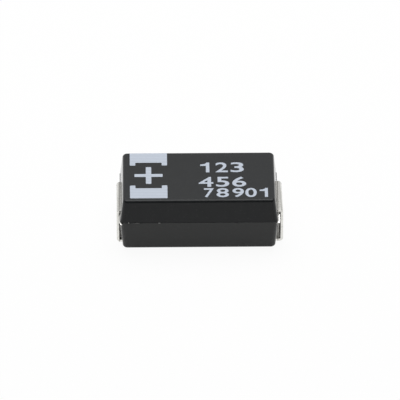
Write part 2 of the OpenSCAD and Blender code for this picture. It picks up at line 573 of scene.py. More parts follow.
@dataclass(frozen=True)
class LaserMark(Finish):
    """Epoxy skin lightened by a laser that scans it line by line.

    It gives the eye a flat, faintly blue light grey with fine scan lines along the case and a
    slightly blotchy tone.

    Attributes:
        scan_pitch: Distance between scan lines in millimetres. The real lines are about 0.05 mm
            apart, and these are drawn coarser so that they show.
        scan_depth: How much darker the gap between two lines is, from 0 to 1.
        scan_waver: How unsteady the lines are.
    """

    scan_pitch: float = 0.13
    scan_depth: float = 0.16
    scan_waver: float = 0.6

    def dress(self, tree: Tree, shader: bpy.types.Node, place: Socket) -> None:
        """Links blotches, scan lines and the roughened skin.

        Args:
            tree: The material's tree.
            shader: Its Principled shader.
            place: Object coordinates, in metres.
        """
        blotched = self.drifting_colour(tree, place, 4.0, 0.6)
        # A band texture repeats every twentieth of a unit at scale 1, over two pi.
        scan = add_node(tree, "ShaderNodeTexWave", {
            "Vector": place, "Scale": per_mm(self.scan_pitch) * math.pi / 10,
            "Distortion": self.scan_waver, "Detail": 2.0, "Detail Scale": 0.4},
            wave_type="BANDS", bands_direction="Y").outputs["Fac"]
        shade = ramp(tree, scan, (0.0, 1.0), (1.0 - self.scan_depth, 1.0))
        lined = add_node(tree, "ShaderNodeVectorMath", {
            0: blotched, "Scale": shade}, operation="SCALE").outputs["Vector"]
        tree.links.new(lined, shader.inputs["Base Color"])
        grain = noise(tree, place, self.grain, 4.0, 0.6)
        self.link_roughness(tree, shader, grain)
        self.link_relief(tree, shader, grain)


EPOXY = MouldedEpoxy(
    "transfer_moulded_epoxy", "epoxy", "#1b1d1f", "#242627", patch=0.5, grain=0.028, relief=0.0014,
    roughness=0.32, spread=0.1, ior=1.55, sheen_level=0.22)
TIN = MattTin(
    "matt_tin_plate", "tin_plate", "#e8e7e2", "#dfded9", patch=0.12, grain=0.018, relief=0.0003,
    roughness=0.24, metallic=1.0)
MARK = LaserMark(
    "laser_lightened_epoxy", "marking", "#c9d1dd", "#bfc8d6", patch=0.12, grain=0.03, relief=0.0015,
    roughness=0.60, spread=0.05, sheen_level=0.3)

# Resin-rich flash, smooth; its off-white colour is a painted highlight for the light that the
# flecks catch from above.
FLASH_WITH_PAINTED_HIGHLIGHT = Finish(
    "resin_flash_painted_highlight", "epoxy", "#f6f5f3", "#f0efed", grain=0.05, relief=0.0005, roughness=0.22)
# Tin smeared smooth by the trimming punch: brighter than the plating, white where a lamp shows.
SMEARED_TIN = Finish(
    "punch_smeared_tin", "tin_plate", "#f3f2ee", "#ebeae6", grain=0.05, relief=0.0003,
    roughness=0.25, metallic=1.0)
# Sintered tantalum powder: dark grey, dull and porous.
SINTERED = Finish(
    "sintered_tantalum", "sintered_tantalum", "#5d6068", "#4a4c53", grain=0.04, relief=0.006,
    roughness=0.62, metallic=1.0)
# Drawn tantalum wire: cold grey with a satin draw finish.
WIRE = Finish(
    "drawn_tantalum", "tantalum_wire", "#9a9da3", "#888b92", grain=0.02, relief=0.0008,
    roughness=0.32, metallic=1.0)
# Skived fluoropolymer: milky white and waxy.
WASHER = Finish(
    "skived_fluoropolymer", "washer_plastic", "#ece9e1", "#e2dfd6", grain=0.05, relief=0.001,
    roughness=0.40, ior=1.35)
# Dried conductive polymer: blue-black film with a faint lustre.
POLYMER = Finish(
    "conductive_polymer_film", "polymer", "#161d2b", "#1f2837", grain=0.06, relief=0.003,
    roughness=0.38, ior=1.5)
# Dipped graphite: soft black with a dull grey sheen.
CARBON = Finish(
    "dipped_graphite", "carbon", "#232426", "#2d2e31", grain=0.03, relief=0.002,
    roughness=0.50, ior=1.8)
# Silver paint: pale warm grey flakes in resin, half metallic.
SILVER = Finish(
    "silver_paint", "silver", "#bdbcb6", "#aaa9a2", grain=0.02, relief=0.002,
    roughness=0.42, metallic=1.0)
# Cured silver adhesive: the same flakes, darker and lumpier.
ADHESIVE = Finish(
    "cured_silver_adhesive", "adhesive", "#a6a59f", "#919089", grain=0.06, relief=0.005,
    roughness=0.50, metallic=1.0)


# ---------------------------------------------------------------------------------------------
# Geometry Nodes
# ---------------------------------------------------------------------------------------------


@dataclass
class ShapeTree:
    """A Geometry Nodes tree with named inputs.

    Attributes:
        name: The tree's name.
        numbers: Names of the inputs that are numbers. The tree also has a Material input.
        tree: The node tree.
        entry: The node that gives the inputs' values.
    """

    name: str
    numbers: tuple[str, ...]
    tree: Tree = field(init=False)
    entry: bpy.types.Node = field(init=False)

    def __post_init__(self) -> None:
        """Makes the tree, its sockets and its entry node."""
        self.tree = bpy.data.node_groups.new(self.name, "GeometryNodeTree")
        sockets = self.tree.interface
        sockets.new_socket("Geometry", in_out="INPUT", socket_type="NodeSocketGeometry")
        for name in self.numbers:
            sockets.new_socket(name, in_out="INPUT", socket_type="NodeSocketFloat")
        sockets.new_socket("Material", in_out="INPUT", socket_type="NodeSocketMaterial")
        sockets.new_socket("Geometry", in_out="OUTPUT", socket_type="NodeSocketGeometry")
        self.entry = add_node(self.tree, "NodeGroupInput")

    def value(self, name: str) -> Socket:
        """The socket that gives an input's value."""
        return self.entry.outputs[name]

    def close(self, shape: Socket) -> None:
        """Realizes a shape, gives it the Material input and sends it out.

        Args:
            shape: The finished geometry.
        """
        real = add_node(self.tree, "GeometryNodeRealizeInstances", {"Geometry": shape})
        dressed = add_node(self.tree, "GeometryNodeSetMaterial", {
            "Geometry": real.outputs["Geometry"], "Material": self.value("Material")})
        add_node(self.tree, "NodeGroupOutput", {"Geometry": dressed.outputs["Geometry"]})

    def apply(self, piece: Piece, values: dict[str, object]) -> None:
        """Runs the tree on a piece and leaves its result as a plain mesh.

        Args:
            piece: The object whose mesh is the tree's input.
            values: Input name to value.
        """
        modifier = piece.modifiers.new(self.name, "NODES")
        modifier.node_group = self.tree
        for item in self.tree.interface.items_tree:
            if item.in_out == "INPUT" and item.name in values:
                modifier[item.identifier] = values[item.name]
        settle(piece)


def place_of_points(tree: Tree) -> Socket:
    """Each point's place, in metres."""
    return add_node(tree, "GeometryNodeInputPosition").outputs["Position"]


def polyline(name: str, points: Iterable[Vector]) -> bpy.types.Mesh:
    """Makes a mesh of vertices and edges only.

    Args:
        name: The mesh's name.
        points: Its points in millimetres, in order.

    Returns:
        The mesh, in metres.
    """
    places = [tuple(Vector(p) * MM) for p in points]
    mesh = bpy.data.meshes.new(name)
    mesh.from_pydata(places, [(i, i + 1) for i in range(len(places) - 1)], [])
    return mesh


def bent_strip_tree() -> ShapeTree:
    """Builds the tree that sweeps a flat strip along its bent centre line.

    The strip's long edges are rounded, and it is narrower on the case's inner side of a neck.

    Returns:
        The tree. Its inputs are sizes in metres.
    """
    sizes = ("Strip", "Width", "Inner Width", "Bend Radius", "Edge Radius", "Neck", "Underside")
    made = ShapeTree("bent_strip", sizes)
    tree = made.tree
    path = add_node(tree, "GeometryNodeMeshToCurve", {"Mesh": made.value("Geometry")})
    bent = add_node(tree, "GeometryNodeFilletCurve", {
        "Curve": path.outputs["Curve"], "Count": BEND_STEPS, "Radius": made.value("Bend Radius"),
    }, mode="POLY")
    section = add_node(tree, "GeometryNodeCurvePrimitiveQuadrilateral", {
        "Width": made.value("Width"), "Height": made.value("Strip")})
    rolled = add_node(tree, "GeometryNodeFilletCurve", {
        "Curve": section.outputs["Curve"], "Count": EDGE_STEPS, "Radius": made.value("Edge Radius"),
    }, mode="POLY")
    swept = add_node(tree, "GeometryNodeCurveToMesh", {
        "Curve": bent.outputs["Curve"], "Profile Curve": rolled.outputs["Curve"],
        "Fill Caps": True})
    place = add_node(tree, "ShaderNodeSeparateXYZ", {"Vector": place_of_points(tree)}).outputs
    inside = add_node(tree, "FunctionNodeCompare", {
        "A": maths(tree, "ABSOLUTE", place["X"]), "B": made.value("Neck")}, operation="LESS_THAN")
    above = add_node(tree, "FunctionNodeCompare", {
        "A": place["Z"], "B": made.value("Underside")}, operation="GREATER_THAN")
    narrowed = add_node(tree, "FunctionNodeBooleanMath", {
        0: inside.outputs["Result"], 1: above.outputs["Result"]}, operation="AND")
    share = maths(tree, "DIVIDE", made.value("Inner Width"), made.value("Width"))
    moved = add_node(tree, "ShaderNodeCombineXYZ", {
        "X": place["X"], "Y": maths(tree, "MULTIPLY", place["Y"], share), "Z": place["Z"]})
    shaped = add_node(tree, "GeometryNodeSetPosition", {
        "Geometry": swept.outputs["Mesh"], "Selection": narrowed.outputs["Boolean"],
        "Position": moved.outputs["Vector"]})
    made.close(shaped.outputs["Geometry"])
    return made


def flash_tree() -> ShapeTree:
    """Builds the tree that lays an uneven fin of moulding flash along the parting line.

    Returns:
        The tree. Its sizes are in metres, and its seed is fixed.
    """
    made = ShapeTree("parting_flash", ("Step", "Least", "Most", "Patch", "Seed"))
    tree = made.tree
    line = add_node(tree, "GeometryNodeMeshToCurve", {"Mesh": made.value("Geometry")})
    fine = add_node(tree, "GeometryNodeResampleCurve", {
        "Curve": line.outputs["Curve"], "Length": made.value("Step")}, mode="LENGTH")
    patches = add_node(tree, "ShaderNodeTexNoise", {
        "Vector": place_of_points(tree), "W": made.value("Seed"),
        "Scale": maths(tree, "DIVIDE", 1.0, made.value("Patch")), "Detail": 4.0,
        "Roughness": 0.75}, noise_dimensions="4D").outputs["Fac"]
    width = ramp(tree, patches, FIN_NOISE, (made.value("Least"), made.value("Most")))
    swollen = add_node(tree, "GeometryNodeSetCurveRadius", {
        "Curve": fine.outputs["Curve"], "Radius": width})
    bead = add_node(tree, "GeometryNodeCurvePrimitiveCircle", {
        "Resolution": FIN_SIDES, "Radius": 1.0})
    swept = add_node(tree, "GeometryNodeCurveToMesh", {
        "Curve": swollen.outputs["Curve"], "Profile Curve": bead.outputs["Curve"],
        "Scale": width, "Fill Caps": True})
    made.close(swept.outputs["Mesh"])
    return made


# ---------------------------------------------------------------------------------------------
# Sub-assemblies
# ---------------------------------------------------------------------------------------------


def box_mm(node: str) -> tuple[Vector, Vector]:
    """Lowest and highest corner of a CAD node, in millimetres."""
    low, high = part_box(node)
    return low / MM, high / MM


class End(Enum):
    """The two ends of the case, with the side of the middle that each lies on."""

    ANODE = -1
    CATHODE = 1

    @property
    def node(self) -> str:
        """The CAD node of the terminal at this end."""
        return f"{self.name.lower()}_terminal"


class Wall(Enum):
    """The case's four drafted walls above the parting line, as their outward direction."""

    FRONT = (0, -1)
    BACK = (0, 1)
    LEFT = (-1, 0)
    RIGHT = (1, 0)


@dataclass(frozen=True)
class Sliver:
    """A thin sliver at one front corner, trimmed in line with the lead beside it.

    Attributes:
        end: The end of the case that it hangs on.
        height: Height of its upper face at its first corner.
        droop: How far that face falls for each millimetre towards the front.
        outline: Its corners in plan, as distances from the case's middle.
    """

    end: End
    height: float
    droop: float
    outline: tuple[tuple[float, float], ...]


@dataclass(frozen=True)
class Fleck:
    """A fleck of flash on the long front of the parting line.

    Attributes:
        along: Its place along X.
        drop: How far below the parting line its middle lies.
        half_sizes: Half its length, depth and height.
    """

    along: float
    drop: float
    half_sizes: tuple[float, float, float]


@dataclass
class MouldedCase:
    """The one-piece epoxy case, with the flash on its parting line.

    Attributes:
        strip: Thickness of the lead-frame strip that the mould halves clamp.
        flash: Height of the fine ridge that the CAD case has along its parting line.
        drafts: Draft of each wall above the parting line, in degrees.
        corner_radius: Radius of the upright corners.
        cad_top_radius: Radius of the CAD's edges round the top face.
        top_edge_radius: Radius of those edges as wear and the mould's own wear leave them.
        edge_steps: Straight pieces in those edges.
        flash_least: Radius of the flash fin where it is thinnest.
        flash_most: Radius of the flash fin where it is thickest.
        flash_patch: Length of a thick stretch of flash.
        flash_step: Distance between the fin's sections.
        flash_seeds: Seed of the flash along the -Y side and along the +Y side.
        sliver_thickness: Thickness of the slivers at the corners.
        slivers: The tinned slivers that trimming left at the front corners.
        flecks: The flecks on the front of the parting line, off-white as a painted highlight.
        nubs: The thicker flecks, in the case's own dark finish without the painted highlight.
        terminal_width: Width of the terminals, where the flash stops.
        low: Lowest corner of the CAD case's box.
        high: Its highest corner.
        parting: Height of the parting line.
        cad_inset: How far the CAD's upper walls are drawn in where its top edges begin.
    """

    strip: float = 0.12
    flash: float = 0.012
    drafts: dict[Wall, float] = field(default_factory=lambda: {
        Wall.FRONT: 7.7, Wall.BACK: 5.1, Wall.LEFT: 7.0, Wall.RIGHT: 7.0})
    corner_radius: float = 0.21
    cad_top_radius: float = 0.06
    top_edge_radius: float = 0.11
    edge_steps: int = 8
    flash_least: float = 0.002
    flash_most: float = 0.012
    flash_patch: float = 0.45
    flash_step: float = 0.015
    flash_seeds: dict[int, float] = field(default_factory=lambda: {-1: 3.40, 1: 8.10})
    sliver_thickness: float = 0.02
    slivers: tuple[Sliver, ...] = (
        Sliver(End.CATHODE, 1.48, 0.0, ((3.42, 1.34), (3.49, 1.36), (3.50, 2.00), (3.40, 2.10))),
        Sliver(End.CATHODE, 1.63, 0.20, ((3.497, 1.64), (3.537, 1.64), (3.545, 2.04), (3.53, 2.13),
                                         (3.46, 2.16), (3.44, 2.11), (3.495, 2.04))),
        Sliver(End.ANODE, 1.49, 0.0, ((3.42, 1.34), (3.49, 1.36), (3.505, 2.00), (3.40, 2.10))),
        Sliver(End.ANODE, 1.52, 0.22, ((3.40, 1.98), (3.46, 2.00), (3.445, 2.14), (3.37, 2.18),
                                       (3.35, 2.06))))
    flecks: tuple[Fleck, ...] = (
        Fleck(-3.08, 0.0, (0.040, 0.012, 0.014)), Fleck(-2.70, 0.01, (0.10, 0.008, 0.006)),
        Fleck(-1.74, 0.01, (0.05, 0.010, 0.008)))
    nubs: tuple[Fleck, ...] = (Fleck(1.64, 0.035, (0.06, 0.03, 0.045)),)
    terminal_width: float = 2.40
    low: Vector = field(init=False)
    high: Vector = field(init=False)
    parting: float = field(init=False)
    cad_inset: float = field(init=False)

    def __post_init__(self) -> None:
        """Reads the case's box, its parting line and where its straight walls end."""
        self.low, self.high = box_mm("moulded_case")
        self.parting = box_mm(End.ANODE.node)[1].z - self.strip / 2
        foot = self.high.z - self.cad_top_radius
        points = (v.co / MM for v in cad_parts["moulded_case"].data.vertices)
        self.cad_inset = self.half_length() - max(p.x for p in points if abs(p.z - foot) < SAME)

    def inset_at(self, height: float, wall: Wall) -> float:
        """How far draft draws an upper wall in at a height, from the parting outline."""
        return (height - self.parting) * math.tan(math.radians(self.drafts[wall]))

    def half_length(self) -> float:
        """Half the case's length at the parting line, without flash."""
        return self.high.x - self.flash

    def half_width(self) -> float:
        """Half the case's width at the parting line, without flash."""
        return self.high.y - self.flash

    def crown_place(self, at: Vector, height: float, tuck: float) -> Vector:
        """Place of an outline point on the crown, the part above the straight walls.

        Args:
            at: The point's place on the CAD's outline where the straight walls end.
            height: Height of the ring that it moves to.
            tuck: How far that ring is drawn in by the edge's rounding.

        Returns:
            The point's place in millimetres.
        """
        wall_x = Wall.RIGHT if at.x > 0 else Wall.LEFT
        wall_y = Wall.BACK if at.y > 0 else Wall.FRONT
        core_x = self.half_length() - self.corner_radius
        core_y = self.half_width() - self.corner_radius
        angle = math.atan2(
            max(abs(at.y) - (core_y - self.cad_inset), 0.0),
            max(abs(at.x) - (core_x - self.cad_inset), 0.0))
        reach = self.corner_radius - tuck
        x = core_x - self.inset_at(height, wall_x) + reach * math.cos(angle)
        y = core_y - self.inset_at(height, wall_y) + reach * math.sin(angle)
        return Vector((math.copysign(x, at.x), math.copysign(y, at.y), height))

    def build_shell(self) -> Piece:
        """Makes the case with worn top edges, keeping its cavity for the inner pieces.

        Returns:
            The case piece.
        """
        mesh = welded_copy("moulded_case")
        work = bmesh.new()
        work.from_mesh(mesh)
        foot = self.high.z - self.cad_top_radius
        crown = [f for f in work.faces if all(v.co.z / MM > foot - SAME for v in f.verts)]
        bmesh.ops.delete(work, geom=crown, context="FACES")
        rim = [e for e in work.edges if e.is_boundary]
        places = {v: v.co / MM for e in rim for v in e.verts}
        radius, top = self.top_edge_radius, self.high.z
        for vert, at in places.items():
            vert.co = self.crown_place(at, top - radius, 0.0) * MM
        for step in range(1, self.edge_steps + 1):
            angle = math.radians(90.0 * step / self.edge_steps)
            height, tuck = top - radius * (1 - math.sin(angle)), radius * (1 - math.cos(angle))
            grown = bmesh.ops.extrude_edge_only(work, edges=rim)["geom"]
            rim = [g for g in grown if isinstance(g, bmesh.types.BMEdge)]
            fresh = [g for g in grown if isinstance(g, bmesh.types.BMVert)]
            below = {v: next(places[e.other_vert(v)] for e in v.link_edges
                             if e.other_vert(v) in places) for v in fresh}
            for vert, at in below.items():
                vert.co = self.crown_place(at, height, tuck) * MM
            places = below
        bmesh.ops.contextual_create(work, geom=rim)
        bmesh.ops.recalc_face_normals(work, faces=work.faces)
        work.to_mesh(mesh)
        work.free()
        shell = new_object("case_shell", mesh)
        shell.data.materials.clear()
        shell.data.materials.append(EPOXY.material())
        smooth(shell, sharp_above=30.0)
        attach(shell, BODY)
        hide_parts("moulded_case")
        return shell

    def long_run(self, side: int) -> list[Vector]:
        """Line of the flash along one long side and round its two corners.

        The front one runs on along the ends up to the terminals.

        Args:
            side: 1 for the +Y side, -1 for the -Y side.

        Returns:
            Points in millimetres at the parting line.
        """
        x, y = self.half_length(), self.half_width()
        stop = self.terminal_width / 2 if side < 0 else y - self.corner_radius
        ends = [Vector((-x, stop)), Vector((-x, y)), Vector((x, y)), Vector((x, stop))]
        run = [ends[0], *corner_arc(ends[0], ends[1], ends[2], self.corner_radius),
               *corner_arc(ends[1], ends[2], ends[3], self.corner_radius), ends[3]]
        return [Vector((p.x, side * p.y, self.parting)) for p in run]

    def build_fins(self) -> Piece:
        """Lays the uneven fins of flash along the parting line.

        Returns:
            The piece that holds them.
        """
        tree = flash_tree()
        work = bmesh.new()
        for side, seed in self.flash_seeds.items():
            run = new_object("flash_run", polyline("flash_line", self.long_run(side)))
            tree.apply(run, {
                "Step": self.flash_step * MM, "Least": self.flash_least * MM,
                "Most": self.flash_most * MM, "Patch": self.flash_patch * MM, "Seed": seed,
                "Material": EPOXY.material()})
            work.from_mesh(run.data)
            bpy.data.objects.remove(run)
        return self.dress_flash("parting_flash", work, EPOXY)

    def build_flecks(self, name: str, flecks: Sequence[Fleck], finish: Finish) -> Piece:
        """Makes smooth grains of flash at the front of the parting line.

        Args:
            name: The piece's name.
            flecks: The grains.
            finish: Their finish.

        Returns:
            The piece that holds them.
        """
        work = bmesh.new()
        for fleck in flecks:
            place = Vector((fleck.along, -self.half_width(), self.parting - fleck.drop)) * MM
            size = Matrix.Scale(MM, 4) @ Matrix.Diagonal((*fleck.half_sizes, 1.0))
            bmesh.ops.create_icosphere(
                work, subdivisions=2, radius=1.0, matrix=Matrix.Translation(place) @ size)
        return self.dress_flash(name, work, finish)

    def build_slivers(self) -> Piece:
        """Makes the bright slivers that trimming left at the front corners.

        Returns:
            The piece that holds them.
        """
        work = bmesh.new()
        for sliver in self.slivers:
            start = sliver.outline[0][1]
            top = work.faces.new([
                work.verts.new(Vector((
                    sliver.end.value * x, -y, sliver.height - sliver.droop * (y - start))) * MM)
                for x, y in sliver.outline])
            sheet = bmesh.ops.extrude_face_region(work, geom=[top])["geom"]
            bmesh.ops.translate(
                work, vec=Vector((0, 0, -self.sliver_thickness)) * MM,
                verts=[g for g in sheet if isinstance(g, bmesh.types.BMVert)])
        return self.dress_flash("trimming_slivers", work, SMEARED_TIN)

    def dress_flash(self, name: str, work: bmesh.types.BMesh, finish: Finish) -> Piece:
        """Turns flash faces outwards, and gives them their finish.

        Args:
            name: The piece's name.
            work: Its faces.
            finish: Its finish.

        Returns:
            The piece.
        """
        bmesh.ops.recalc_face_normals(work, faces=work.faces)
        piece = new_object(name, mesh_from(name, work))
        piece.data.materials.append(finish.material())
        smooth(piece, sharp_above=50.0)
        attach(piece, BODY)
        return piece

    def build(self) -> list[Piece]:
        """Builds the case, its flash and what trimming left.

        Returns:
            The pieces.
        """
        return [
            self.build_shell(), self.build_fins(),
            # The flecks' off-white finish is a painted highlight.
            self.build_flecks("flash_flecks", self.flecks, FLASH_WITH_PAINTED_HIGHLIGHT), self.build_slivers(),
            self.build_flecks("flash_nub", self.nubs, EPOXY)]


@dataclass
class Terminal:
    """One folded lead-frame terminal: inner tab, stub, leg and solder pad in a single strip.

    Attributes:
        end: The end of the case that it leaves.
        case: The case that holds it.
        strip: Thickness of the strip.
        bend_radius: Inner radius of every bend.
        edge_radius: Rounding of the strip's long edges by stamping and plating.
        pad_length: Length of the solder pad from the terminal's outer face.
        lead_entry: Length of full-width strip held in the end wall.
        shoulder: Run over which the strip narrows behind that.
        saddle_depth: Depth of the saddle coined under the anode wire.
        wire_margin: Weld tab left clear beyond the end of the wire.
        step_run: Run of the step down to the wire.
        weld_width: Width of the weld tab.
        tab_width: Width of the cathode riser and tab.
        set_out: How far forming set the leg out from its nominal place, along X.
        skew: How much further out the leg's -Y edge stands than its middle.
    """

    end: End
    case: MouldedCase
    set_out: float = 0.0
    skew: float = 0.0
    strip: float = 0.12
    bend_radius: float = 0.04
    edge_radius: float = 0.014
    pad_length: float = 1.30
    lead_entry: float = 0.37
    shoulder: float = 0.02
    saddle_depth: float = 0.06
    wire_margin: float = 0.06
    step_run: float = 0.25
    weld_width: float = 1.20
    tab_width: float = 2.00

    def inner_path(self) -> list[tuple[float, float]]:
        """Centre line inside the case.

        Returns:
            Each point's distance from the middle and its height.
        """
        if self.end is End.CATHODE:
            glue_low, glue_high = box_mm("silver_adhesive")
            tab_end = box_mm(self.end.node)[0].x
            riser = glue_high.x + self.strip / 2
            tab = glue_low.z - self.strip / 2
            return [(tab_end, tab), (riser, tab), (riser, self.case.parting)]
        wire_low, _ = box_mm("anode_wire")
        weld_end = -box_mm(self.end.node)[1].x
        step_inner = -wire_low.x + self.wire_margin
        tab = wire_low.z + self.saddle_depth - self.strip / 2
        return [(weld_end, tab), (step_inner, tab), (step_inner + self.step_run, self.case.parting)]

    def path(self) -> list[Vector]:
        """The whole centre line, from inside the case to the pad's tip.

        Returns:
            Its points in millimetres.
        """
        face = self.case.half_length() + self.leg_reach() + self.set_out
        middle = face - self.strip / 2
        neck = self.neck()
        line = self.inner_path() + [
            (neck, self.case.parting), (neck + self.shoulder, self.case.parting),
            (middle, self.case.parting), (middle, self.strip / 2),
            (face - self.pad_length, self.strip / 2)]
        return [Vector((self.end.value * x, 0.0, z)) for x, z in line]

    def leg_reach(self) -> float:
        """How far the leg's outer face stands out from the case's end."""
        low, high = box_mm(self.end.node)
        return max(abs(low.x), abs(high.x)) - self.case.half_length()

    def neck(self) -> float:
        """Distance from the middle at which the strip has narrowed."""
        return self.case.half_length() - self.lead_entry + self.bend_radius + self.strip / 2

    def build(self, tree: ShapeTree) -> Piece:
        """Sweeps the strip, coins the anode's saddle and dresses the terminal.

        Args:
            tree: The bent-strip tree.

        Returns:
            The terminal piece.
        """
        piece = new_object(f"{self.end.name.lower()}_lead", polyline("centre_line", self.path()))
        inner_width = self.tab_width if self.end is End.CATHODE else self.weld_width
        tree.apply(piece, {
            "Strip": self.strip * MM, "Width": self.case.terminal_width * MM,
            "Inner Width": inner_width * MM,
            "Bend Radius": (self.bend_radius + self.strip / 2) * MM,
            "Edge Radius": self.edge_radius * MM,
            "Neck": (self.neck() + self.shoulder / 2) * MM,
            "Underside": self.case.low.z * MM, "Material": TIN.material()})
        self.tidy_mesh(piece)
        self.skew_leg(piece)
        if self.end is End.ANODE:
            self.coin_saddle(piece)
        smooth(piece, sharp_above=50.0)
        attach(piece, BODY)
        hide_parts(self.end.node)
        return piece

    def tidy_mesh(self, piece: Piece) -> None:
        """Merges doubled points and turns every face outwards.

        Args:
            piece: The swept strip.
        """
        work = bmesh.new()
        work.from_mesh(piece.data)
        bmesh.ops.remove_doubles(work, verts=work.verts, dist=SAME * MM)
        bmesh.ops.recalc_face_normals(work, faces=work.faces)
        work.to_mesh(piece.data)
        work.free()

    def skew_leg(self, piece: Piece) -> None:
        """Turns the strip outside the case a little in plan, as an uneven bend leaves it.

        Args:
            piece: The swept strip.
        """
        wall, run = self.case.half_length(), self.leg_reach() - self.strip
        for vert in piece.data.vertices:
            at = vert.co / MM
            share = min(max((abs(at.x) - wall) / run, 0.0), 1.0)
            if at.z < self.case.low.z:
                share = 1.0
            across = -at.y / (self.case.terminal_width / 2)
            vert.co.x += self.end.value * self.skew * share * across * MM

    def coin_saddle(self, piece: Piece) -> None:
        """Presses the wire's seat into the weld tab.

        Args:
            piece: The anode terminal.
        """
        wire = new_object("saddle_punch", welded_copy("anode_wire"))
        cut = piece.modifiers.new("saddle", "BOOLEAN")
        cut.operation = "DIFFERENCE"
        cut.object = wire
        cut.solver = "EXACT"
        settle(piece)
        bpy.data.objects.remove(wire)


@dataclass
class Marking:
    """The laser-marked polarity sign and numbers on the top face.

    Attributes:
        case: The case that is marked.
        cad_span: Span of the whole polarity mark across the case in the CAD.
        shift: How far the mark landed from its place in the CAD, in plan.
        length: Length of the polarity mark along the case.
        window: Clear width between its two blocks.
        block: Depth across the case of the block that lies whole on the top face.
        foot_reach: Reach of the foot at each inner corner of a block.
        foot_width: Width of each foot.
        plus_length: Length of the plus sign along the case.
        plus_span: Length of the plus sign across the case.
        plus_bar: Width of its bars.
        spot: Radius of the laser spot, which rounds every corner.
        lift: Height of the marked skin over the bare one.
        depth: Depth of the marked skin.
        edge_wrap: How far round the top edge the outer block runs, in degrees.
        wrap_steps: Straight pieces in that run.
    """

    case: MouldedCase
    cad_span: float = 3.86
    shift: tuple[float, float] = (0.014, 0.008)
    length: float = 1.64
    window: float = 2.13
    block: float = 0.83
    foot_reach: float = 0.228
    foot_width: float = 0.24
    plus_length: float = 1.235
    plus_span: float = 1.40
    plus_bar: float = 0.24
    spot: float = 0.035
    lift: float = 0.002
    depth: float = 0.018
    edge_wrap: float = 70.0
    wrap_steps: int = 6

    def centre(self) -> Vector:
        """The middle of the plus sign.

        Returns:
            Its place in plan, in millimetres.
        """
        low, high = box_mm("polarity_mark")
        drawn = Vector(((low.x + high.x) / 2, low.y + self.cad_span / 2))
        return drawn + Vector(self.shift)

    def flat_edge(self) -> float:
        """Where the flat top face ends on the +Y side, inside its rounded edge."""
        case = self.case
        return case.half_width() - case.inset_at(case.high.z, Wall.BACK) - case.top_edge_radius

    def block_loop(self, side: int, outer: float) -> list[Vector]:
        """Outline of one block of the mark with its two feet.

        Args:
            side: 1 for the +Y block, -1 for the -Y block.
            outer: Distance of the block's outer edge from the mark's middle.

        Returns:
            The outline in plan.
        """
        half, foot, spot = self.length / 2, self.foot_width, self.spot
        inner, reach = self.window / 2, self.window / 2 - self.foot_reach
        corners = [
            (-half, outer, 0.0 if side > 0 else spot), (-half, reach, spot),
            (-half + foot, reach, spot), (-half + foot, inner, spot),
            (half - foot, inner, spot), (half - foot, reach, spot),
            (half, reach, spot), (half, outer, 0.0 if side > 0 else spot)]
        middle = self.centre()
        return [middle + Vector((p.x, side * p.y)) for p in rounded_loop(corners)]

    def plus_loop(self) -> list[Vector]:
        """Outline of the plus sign.

        Returns:
            The outline in plan.
        """
        along, across, bar = self.plus_length / 2, self.plus_span / 2, self.plus_bar / 2
        half = [(along, -bar), (along, bar), (bar, bar), (bar, across), (-bar, across), (-bar, bar)]
        corners = [(side * x, side * y, self.spot) for side in (1, -1) for x, y in half]
        return [self.centre() + p for p in rounded_loop(corners)]

    def skin(self, loops: Sequence[Sequence[Vector]]) -> bmesh.types.BMesh:
        """Flat skins on the top face, still without thickness.

        Args:
            loops: Outlines in plan, in millimetres.

        Returns:
            The skins as a bmesh in metres.
        """
        work = bmesh.new()
        height = self.case.high.z + self.lift
        for loop in loops:
            face = work.faces.new([work.verts.new(Vector((p.x, p.y, height)) * MM) for p in loop])
            face.normal_update()
            if face.normal.z < 0:
                face.normal_flip()
        return work

    def wrap_over_edge(self, work: bmesh.types.BMesh) -> None:
        """Carries the block that reaches the top face's edge on round the edge's curve.

        Args:
            work: The skins.
        """
        case = self.case
        flat = self.flat_edge()
        work.edges.ensure_lookup_table()
        rim = [e for e in work.edges if all(abs(v.co.y / MM - flat) < SAME for v in e.verts)]
        for step in range(1, self.wrap_steps + 1):
            angle = math.radians(self.edge_wrap * step / self.wrap_steps)
            height = case.high.z - case.top_edge_radius * (1 - math.cos(angle))
            tuck = case.top_edge_radius * (1 - math.sin(angle))
            wall = case.half_width() - case.inset_at(height, Wall.BACK)
            y = wall - tuck + self.lift * math.sin(angle)
            z = height + self.lift * math.cos(angle)
            grown = bmesh.ops.extrude_edge_only(work, edges=rim)["geom"]
            for vert in (g for g in grown if isinstance(g, bmesh.types.BMVert)):
                vert.co.y, vert.co.z = y * MM, z * MM
            rim = [g for g in grown if isinstance(g, bmesh.types.BMEdge)]

    def thicken(self, name: str, work: bmesh.types.BMesh) -> Piece:
        """Gives skins their depth below the surface and dresses them.

        Args:
            name: The piece's name.
            work: The skins.

        Returns:
            The marked piece.
        """
        work.normal_update()
        bmesh.ops.reverse_faces(work, faces=[f for f in work.faces if f.normal.z < 0])
        piece = new_object(name, mesh_from(name, work))
        wall = piece.modifiers.new("depth", "SOLIDIFY")
        wall.thickness = (self.depth + self.lift) * MM
        wall.offset = -1.0
        settle(piece)
        piece.data.materials.clear()
        piece.data.materials.append(MARK.material())
        smooth(piece, sharp_above=40.0)
        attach(piece, BODY)
        return piece

    def build_polarity(self) -> Piece:
        """Makes the two blocks and the plus sign.

        Returns:
            The piece that holds them.
        """
        inner_edge = self.window / 2
        to_edge = self.flat_edge() - self.centre().y
        loops = [
            self.block_loop(1, to_edge),
            self.block_loop(-1, inner_edge + self.block),
            self.plus_loop()]
        work = self.skin(loops)
        self.wrap_over_edge(work)
        piece = self.thicken("polarity_sign", work)
        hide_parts("polarity_mark")
        return piece

    def build(self) -> list[Piece]:
        """Builds the polarity mark and the numbers."""
        return [self.build_polarity(), Numbers(self).build()]


@dataclass(frozen=True)
class NumberLine:
    """One line of plain numbers.

    Attributes:
        base: Place of the digits' feet along Y.
        height: Height of the digits.
        digits: Each digit with its left and right edge along X.
    """

    base: float
    height: float
    digits: tuple[tuple[str, float, float], ...]


